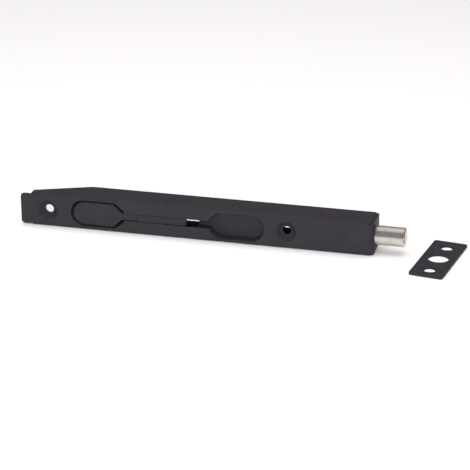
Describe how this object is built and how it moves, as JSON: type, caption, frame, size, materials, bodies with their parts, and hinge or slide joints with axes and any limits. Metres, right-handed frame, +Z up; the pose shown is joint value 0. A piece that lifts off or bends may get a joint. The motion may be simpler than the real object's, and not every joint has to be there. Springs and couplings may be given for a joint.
{
  "type": "toggle bolt latch",
  "caption": "Lever-action flush bolt: a channel housing with finger recesses, a flip-over lever, a sliding round bolt and a drilled strike plate.",
  "frame": {"origin": "middle of the footprint of the housing and the strike plate, on the surface they lie on", "axes": "+X along the housing towards the bolt's nose, -Y the way the face looks, +Z up from the lower flange to the upper one"},
  "size_m": [0.2614, 0.0538, 0.02],
  "materials": {
    "powder_coat": "satin dark anthracite powder coat",
    "zinc_plate": "zinc plated steel",
    "black_oxide": "black oxide on steel sheet",
    "nickel_plate": "satin nickel plate with turning marks",
    "spring_steel": "blued spring steel"
  },
  "bodies": {
    "housing_body": {"housing": "powder_coat", "pivot_pin": "powder_coat", "pivot_sleeve_upper": "zinc_plate", "pivot_sleeve_lower": "zinc_plate", "bolt_guide": "zinc_plate", "friction_spring": "spring_steel"},
    "lever_body": {"lever": "powder_coat", "crank_pin": "zinc_plate"},
    "link_body": {"link_upper": "black_oxide", "link_lower": "black_oxide", "link_stay": "zinc_plate", "crank_collar_upper": "zinc_plate", "crank_collar_lower": "zinc_plate"},
    "bolt_body": {"bolt": "nickel_plate", "drive_strip": "black_oxide", "strip_rivets": "zinc_plate", "bolt_pin": "zinc_plate"},
    "strike_body": {"strike_plate": "powder_coat"}
  },
  "joints": [
    {"name": "lever_flip", "type": "hinge", "parent": "housing_body", "child": "lever_body", "pos_m": [-0.0416, 0.0004, 0.01], "axis": [0, 0, 1], "range_deg": [0, 175]},
    {"name": "link_turn", "type": "hinge", "parent": "lever_body", "child": "link_body", "pos_m": [-0.03309, 0.0004, 0.01], "axis": [0, 0, 1], "range_deg": [-175, 0]},
    {"name": "bolt_slide", "type": "slide", "parent": "housing_body", "child": "bolt_body", "axis": [-1, 0, 0], "range_m": [0, 0.017]},
    {"name": "strike_lift", "type": "slide", "parent": "housing_body", "child": "strike_body", "axis": [0, 0, 1], "range_m": [0, 0.03]}
  ],
  "couplings": [
    {"joint": "link_turn", "follows": "lever_flip", "ratio": -1},
    {"joint": "bolt_slide", "follows": "lever_flip", "m_per_rad": 0.0055659}
  ]
}
